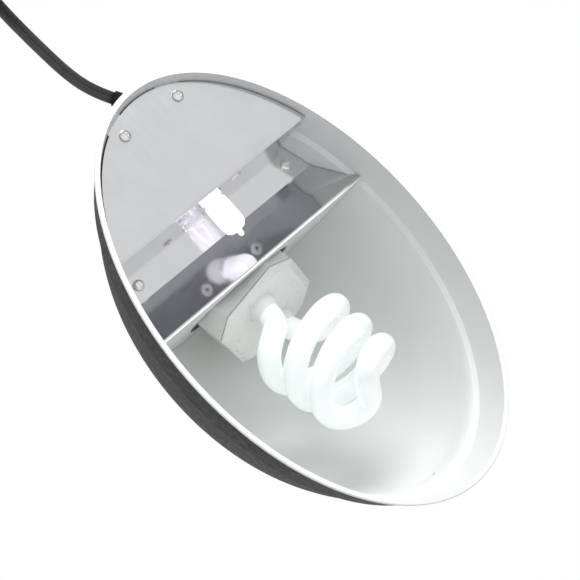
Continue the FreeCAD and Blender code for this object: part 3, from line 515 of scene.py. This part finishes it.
# ---- hood ------------------------------------------------------------------------------------
def powder_coat(settings):
    """Textured and speckled coat, with painted shade that darkens the skirt below the ledge."""
    finish = Finish("powder_coat", settings.coat, 0.62, Specular_IOR_Level=0.4)
    grain = settings.coat_grain
    # Painted shade: blended in by height, the skirt below the ledge takes a darker colour than the bowl to
    # stand in for the shade on the skirt.
    split = finish.add("ShaderNodeSeparateXYZ")
    finish.link(finish.place, split.inputs["Vector"])
    height = finish.add("ShaderNodeMapRange")
    height.inputs["From Min"].default_value = settings.ledge_height - 2.5 * MM
    height.inputs["From Max"].default_value = settings.ledge_height + 0.5 * MM
    finish.link(split.outputs["Z"], height.inputs["Value"])
    coat_with_painted_skirt_shade = finish.ramp(height.outputs["Result"],
                            ((0.0, tuple(settings.skirt_painted_shade)), (1.0, tuple(settings.coat))))
    speckle = finish.ramp(finish.noise(grain, 3.0),
                          ((0.35, (0.55, 0.55, 0.55)), (0.65, (1.5, 1.5, 1.5))))
    mixed = finish.add("ShaderNodeMix", data_type="RGBA", blend_type="MULTIPLY")
    mixed.inputs["Factor"].default_value = 1.0
    finish.link(coat_with_painted_skirt_shade, mixed.inputs[6])
    finish.link(speckle, mixed.inputs[7])
    finish.link(mixed.outputs[2], finish.shader.inputs["Base Color"])
    finish.rough(finish.noise(grain * 3, 3.0), 0.52, 0.72)
    finish.bumps(finish.noise(grain, 2.0), 0.16 * MM, 0.7)
    return finish.material


def enamel_finish(settings):
    """Baked white enamel with a slight orange peel."""
    finish = Finish("white_enamel", settings.enamel, 0.34, Specular_IOR_Level=0.45)
    finish.mottle(finish.noise(45 * MM, 2.0), 0.02)
    finish.rough(finish.noise(8 * MM, 3.0), 0.30, 0.42)
    finish.bumps(finish.noise(2.4 * MM, 2.0), 0.02 * MM, 0.25)
    return finish.material


class GROWLAMP_OT_hood(bpy.types.Operator):
    """Coat the outer shell, the reflector and the white partition"""
    bl_idname = "growlamp.hood"
    bl_label = "Hood"

    def execute(self, context):
        settings = context.scene.grow_lamp_hood
        coat(powder_coat(settings), "outer_shell")
        coat(enamel_finish(settings), "inner_reflector", "lamp_partition")
        coat(moulded("bushing_rubber", (0.022, 0.022, 0.023), 0.42), "cord_bushing")
        return {"FINISHED"}


class GROWLAMP_OT_mirrors(bpy.types.Operator):
    """Polish the cover sheet and the lamp trough"""
    bl_idname = "growlamp.mirrors"
    bl_label = "Mirror sheets"

    def execute(self, context):
        settings = context.scene.grow_lamp_hood
        rgb = tuple(settings.mirror)
        along_x, along_y = (0.05, 1.0, 1.0), (1.0, 0.05, 1.0)
        coat(metal("cover_mirror", rgb, 0.13, along_x, 0.6, 0.003), "cover_plate")
        coat(metal("trough_mirror", rgb, 0.09, along_y, 0.6, 0.003), "halogen_trough")
        return {"FINISHED"}


class GROWLAMP_OT_fasteners(bpy.types.Operator):
    """Finish the screws, rivets, blocks and brackets"""
    bl_idname = "growlamp.fasteners"
    bl_label = "Fasteners"

    def execute(self, context):
        coat(metal("bright_nickel", (0.80, 0.80, 0.79), 0.16), "cover_screws", "trough_screws")
        coat(metal("rivet_nickel", (0.95, 0.92, 0.92), 0.34), "holder_rivets")
        coat(moulded("black_oxide", (0.04, 0.04, 0.04), 0.4, Metallic=0.6), "socket_screws")
        zinc = metal("zinc_plate", (0.58, 0.59, 0.60), 0.32, (1.0, 0.1, 1.0))
        coat(zinc, "cover_blocks", "trough_blocks", "holder_bracket", "socket_bracket", "socket_nuts",
             "bushing_clip")
        return {"FINISHED"}


# ---- spiral lamp -----------------------------------------------------------------------------
# Heights and radii of an arm's control points, as shares of the coil's start height and radius.
LEG_SHARE, ELBOW_SHARE, ELBOW_RADIUS_SHARE, TIP_RADIUS_SHARE = 0.46, 0.76, 0.7, 0.64
ELBOW_TURN, TIP_TURN = math.radians(14), math.radians(42)
ARM_CORNERS, ARM_CORNERS_IN_A_TURN = 11, 8
# Corners stand out from the coil's radius by this much over the cosine of half a step.
ARM_ROUNDING = 0.965


def lamp_axes():
    """Placement of the spiral lamp: +Z along its axis, its origin at the front of its cap."""
    joint = next(j for j in frame["record"]["behaviour"]["joints"] if j["name"] == "lamp_turn")
    axis = Vector(joint["axis"]).normalized()
    if axis.x < 0:
        axis = -axis
    level = Vector((0, 1, 0))
    turn = Matrix((level.cross(axis), level, axis)).transposed().to_4x4()
    return Matrix.Translation(Vector(joint["pos_m"])) @ turn


def around(radius, angle, height):
    """A point at a radius, a direction and a height in the lamp's axes."""
    return Vector((radius * math.cos(angle), radius * math.sin(angle), height))


def spiral_arm(settings):
    """Control points of one arm: its leg, the bend out to the coil, its turns and the tip."""
    step = math.tau / ARM_CORNERS_IN_A_TURN
    widen = ARM_ROUNDING / math.cos(step / 2)
    leg = settings.leg_radius
    points = [around(leg, settings.leg_angle, 0.0),
              around(leg, settings.leg_angle, LEG_SHARE * settings.coil_start),
              around(ELBOW_RADIUS_SHARE * settings.coil_radius, settings.leg_angle + ELBOW_TURN,
                     ELBOW_SHARE * settings.coil_start)]
    for i in range(ARM_CORNERS):
        turned = i / ARM_CORNERS_IN_A_TURN
        radius = settings.coil_radius * (1 - settings.coil_taper * turned) * widen
        points.append(around(radius, settings.coil_phase + i * step,
                             settings.coil_start + settings.coil_pitch * turned))
    end = settings.coil_phase + (ARM_CORNERS - 1) * step
    points.append(around(TIP_RADIUS_SHARE * settings.coil_radius, end + TIP_TURN, settings.coil_tip))
    return points


class GROWLAMP_OT_spiral_lamp(bpy.types.Operator):
    """Build the glowing spiral tube and finish the lamp's case, cap and inner parts"""
    bl_idname = "growlamp.spiral_lamp"
    bl_label = "Spiral lamp"

    def execute(self, context):
        settings = context.scene.grow_lamp_spiral
        arm = spiral_arm(settings)
        route = arm + [Vector((-p.x, -p.y, p.z)) for p in reversed(arm)]
        line = [lamp_axes() @ p for p in nurbs_line(route, order=4, finer=10)]
        glass = Finish("glowing_tube", (0.62, 0.65, 0.65), 0.22, Coat_Weight=0.5, Coat_Roughness=0.05)
        glass.mottle(glass.noise(12 * MM, 2.0), 0.015)
        glass.glow(settings.glow_colour, settings.glow)
        mesh = skin("spiral_tube", swept_round(line, settings.tube_radius, sides=32))
        tube = make_piece(mesh, glass.material, "spiral_lamp")
        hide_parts("cfl_tube")
        case = moulded("lamp_case", (0.80, 0.81, 0.79), 0.30, grain=3.0, depth=0.004)
        coat(case, "cfl_ballast_case", "cfl_front_cap", "cfl_tube_collars")
        coat(metal("rolled_nickel", (0.70, 0.69, 0.66), 0.25), "cfl_screw_cap")
        coat(moulded("fused_glass", (0.02, 0.02, 0.022), 0.15), "cfl_cap_insulator")
        coat(metal("solder", (0.62, 0.62, 0.64), 0.38), "cfl_tip_contact")
        coat(moulded("board_laminate", (0.05, 0.24, 0.10), 0.4), "ballast_board")
        coat(moulded("ferrite", (0.07, 0.07, 0.075), 0.6), "ballast_choke")
        coat(moulded("shrunk_sleeve", (0.03, 0.05, 0.20), 0.25), "ballast_capacitor")
        return {"FINISHED"}


class GROWLAMP_OT_halogen_lamp(bpy.types.Operator):
    """Finish the halogen capsule, its filament and its ceramic holder"""
    bl_idname = "growlamp.halogen_lamp"
    bl_label = "Halogen lamp"

    def execute(self, context):
        settings = context.scene.grow_lamp_capsule
        quartz = Finish("quartz", (0.94, 0.93, 0.97), 0.12, Transmission_Weight=0.55, IOR=1.46)
        quartz.rough(quartz.noise(3 * MM, 3.0), 0.05, 0.25)
        quartz.bumps(quartz.noise(4 * MM, 2.0), 0.15 * MM, 0.4)
        quartz.glow(settings.glow_colour, settings.glow)
        coat(quartz.material, "halogen_capsule")
        wire = Finish("hot_tungsten", (0.8, 0.7, 0.55), 0.4, metallic=1.0)
        wire.mottle(wire.noise(1 * MM, 2.0), 0.1)
        wire.glow((1.0, 0.84, 0.86), settings.filament)
        coat(wire.material, "halogen_filament")
        coat(metal("pin_nickel", (0.75, 0.74, 0.70), 0.2), "halogen_pins")
        coat(moulded("ceramic", (0.84, 0.81, 0.73), 0.35, grain=0.9, depth=0.03), "halogen_holder")
        coat(metal("brass", (0.78, 0.62, 0.30), 0.28), "holder_contacts")
        return {"FINISHED"}


class GROWLAMP_OT_socket(bpy.types.Operator):
    """Finish the screw socket and the wiring"""
    bl_idname = "growlamp.socket"
    bl_label = "Socket and wiring"

    def execute(self, context):
        coat(moulded("socket_ceramic", (0.83, 0.81, 0.76), 0.32, grain=0.9, depth=0.03), "socket_body")
        coat(metal("socket_brass", (0.78, 0.62, 0.30), 0.30), "socket_screw_shell", "socket_centre_contact")
        coat(moulded("black_lead", (0.02, 0.02, 0.02), 0.38), "wires_black")
        coat(moulded("white_lead", (0.80, 0.80, 0.77), 0.38), "wires_white")
        coat(moulded("splice_cap", (0.85, 0.30, 0.04), 0.42), "wire_nuts")
        return {"FINISHED"}


# ---- studio ----------------------------------------------------------------------------------
VIEW_WAY = Vector((-0.0361, -0.3911, 0.9196))
VIEW_ROLL = math.radians(-136.43)
AIM = Vector((-0.0034, -0.0082, -0.0180))


class GROWLAMP_OT_camera(bpy.types.Operator):
    """Place the camera below the opening, looking up into the hood"""
    bl_idname = "growlamp.camera"
    bl_label = "Camera"

    def execute(self, context):
        settings = context.scene.grow_lamp_studio
        data = bpy.data.cameras.new("view")
        data.lens = settings.focal_length
        data.sensor_width = 36.0
        data.clip_end = 20.0
        camera = bpy.data.objects.new("view", data)
        context.scene.collection.objects.link(camera)
        way = VIEW_WAY.normalized()
        turn = way.to_track_quat("-Z", "Y") @ Quaternion((0, 0, 1), VIEW_ROLL)
        camera.rotation_mode = "QUATERNION"
        camera.rotation_quaternion = turn
        camera.location = HOOD_CENTRE + AIM - way * settings.distance
        context.scene.camera = camera
        return {"FINISHED"}


def area_light(context, name, place, size, watts):
    """A round soft light that shines at the hood."""
    data = bpy.data.lights.new(name, "AREA")
    data.shape = "DISK"
    data.size = size
    data.energy = watts
    light = bpy.data.objects.new(name, data)
    light.location = place
    light.rotation_mode = "QUATERNION"
    light.rotation_quaternion = (HOOD_CENTRE - Vector(place)).to_track_quat("-Z", "Y")
    context.scene.collection.objects.link(light)


class GROWLAMP_OT_studio(bpy.types.Operator):
    """Lay the pale floor and set the soft lights"""
    bl_idname = "growlamp.studio"
    bl_label = "Studio"

    def execute(self, context):
        settings = context.scene.grow_lamp_studio
        self.floor(context, settings)
        self.surroundings(context, settings)
        area_light(context, "soft_key", (-0.85, -0.45, -0.85), 0.7, settings.key)
        area_light(context, "soft_fill", (0.70, -0.55, 0.80), 1.1, settings.key * 0.4)
        context.scene.view_settings.view_transform = "Standard"
        return {"FINISHED"}

    def floor(self, context, settings):
        """A pale sheet around the rim, open inside it, and clear on its underside."""
        half = (HOOD_HIGH - HOOD_LOW) / 2
        gap = 1.2 * MM
        rings = []
        for reach in (3.0, 1.2, 0.35, 0.0):
            wide, deep = half.x + gap + reach, half.y + gap + reach
            rings.append([Vector((math.cos(a) * wide, math.sin(a) * deep, -gap / 4)) for a in circle(96)])
        mesh = skin("floor", rings, closed_ends=False)
        finish = Finish("floor_sheet", settings.floor, 0.6)
        finish.mottle(finish.noise(0.6, 2.0), 0.01)
        sides = finish.add("ShaderNodeNewGeometry")
        clear = finish.add("ShaderNodeBsdfTransparent")
        choice = finish.add("ShaderNodeMixShader")
        output = finish.tree.nodes["Material Output"]
        finish.link(sides.outputs["Backfacing"], choice.inputs["Fac"])
        finish.link(finish.shader.outputs["BSDF"], choice.inputs[1])
        finish.link(clear.outputs["BSDF"], choice.inputs[2])
        finish.link(choice.outputs["Shader"], output.inputs["Surface"])
        floor = bpy.data.objects.new("floor", mesh)
        context.scene.collection.objects.link(floor)
        floor.data.materials.append(finish.material)

    def surroundings(self, context, settings):
        """Plain white to look at, and a light that is dimmest just below level."""
        world = bpy.data.worlds.new("surroundings")
        world.use_nodes = True
        tree = world.node_tree
        seen = tree.nodes["Background"]
        seen.inputs["Color"].default_value = (1, 1, 1, 1)
        seen.inputs["Strength"].default_value = 1.0
        felt = tree.nodes.new("ShaderNodeBackground")
        felt.inputs["Strength"].default_value = settings.ambient
        way = tree.nodes.new("ShaderNodeTexCoord")
        split = tree.nodes.new("ShaderNodeSeparateXYZ")
        ramp = tree.nodes.new("ShaderNodeValToRGB")
        half_up = tree.nodes.new("ShaderNodeMapRange")
        half_up.inputs["From Min"].default_value = -1.0
        # From straight down, 0, to straight up, 1.
        stops = ((0.0, (1.0, 1.0, 1.0)), (0.14, (0.90, 0.905, 0.92)), (0.40, (0.26, 0.27, 0.29)),
                 (0.55, (0.42, 0.44, 0.46)), (1.0, (0.80, 0.80, 0.80)))
        set_stops(ramp.color_ramp, stops)
        tree.links.new(way.outputs["Generated"], split.inputs["Vector"])
        tree.links.new(split.outputs["Z"], half_up.inputs["Value"])
        tree.links.new(half_up.outputs["Result"], ramp.inputs["Fac"])
        tree.links.new(ramp.outputs["Color"], felt.inputs["Color"])
        ray = tree.nodes.new("ShaderNodeLightPath")
        choice = tree.nodes.new("ShaderNodeMixShader")
        tree.links.new(ray.outputs["Is Camera Ray"], choice.inputs["Fac"])
        tree.links.new(felt.outputs["Background"], choice.inputs[1])
        tree.links.new(seen.outputs["Background"], choice.inputs[2])
        tree.links.new(choice.outputs["Shader"], tree.nodes["World Output"].inputs["Surface"])
        context.scene.world = world


# ---- panel and registration ------------------------------------------------------------------
OPERATORS = (
    GROWLAMP_OT_camera,
    GROWLAMP_OT_supply_cord,
    GROWLAMP_OT_hood,
    GROWLAMP_OT_mirrors,
    GROWLAMP_OT_fasteners,
    GROWLAMP_OT_spiral_lamp,
    GROWLAMP_OT_halogen_lamp,
    GROWLAMP_OT_socket,
    GROWLAMP_OT_studio,
)


class GROWLAMP_PT_panel(bpy.types.Panel):
    """Sizes, colours and steps of the grow lamp"""
    bl_idname = "GROWLAMP_PT_panel"
    bl_label = "Grow Lamp"
    bl_space_type = "VIEW_3D"
    bl_region_type = "UI"
    bl_category = "Grow Lamp"

    def draw(self, context):
        for name, group in SETTINGS.items():
            box = self.layout.box()
            for prop in group.__annotations__:
                box.prop(getattr(context.scene, name), prop)
        for operator in OPERATORS:
            self.layout.operator(operator.bl_idname)


CLASSES = (*SETTINGS.values(), *OPERATORS, GROWLAMP_PT_panel)


def register():
    for cls in CLASSES:
        bpy.utils.register_class(cls)
    for name, group in SETTINGS.items():
        setattr(bpy.types.Scene, name, bpy.props.PointerProperty(type=group))


def unregister():
    for name in SETTINGS:
        delattr(bpy.types.Scene, name)
    for cls in reversed(CLASSES):
        bpy.utils.unregister_class(cls)


def main():
    register()
    bpy.ops.growlamp.camera()
    bpy.ops.growlamp.supply_cord()
    bpy.ops.growlamp.hood()
    bpy.ops.growlamp.mirrors()
    bpy.ops.growlamp.fasteners()
    bpy.ops.growlamp.spiral_lamp()
    bpy.ops.growlamp.halogen_lamp()
    bpy.ops.growlamp.socket()
    bpy.ops.growlamp.studio()


if __name__ == "__main__":
    main()
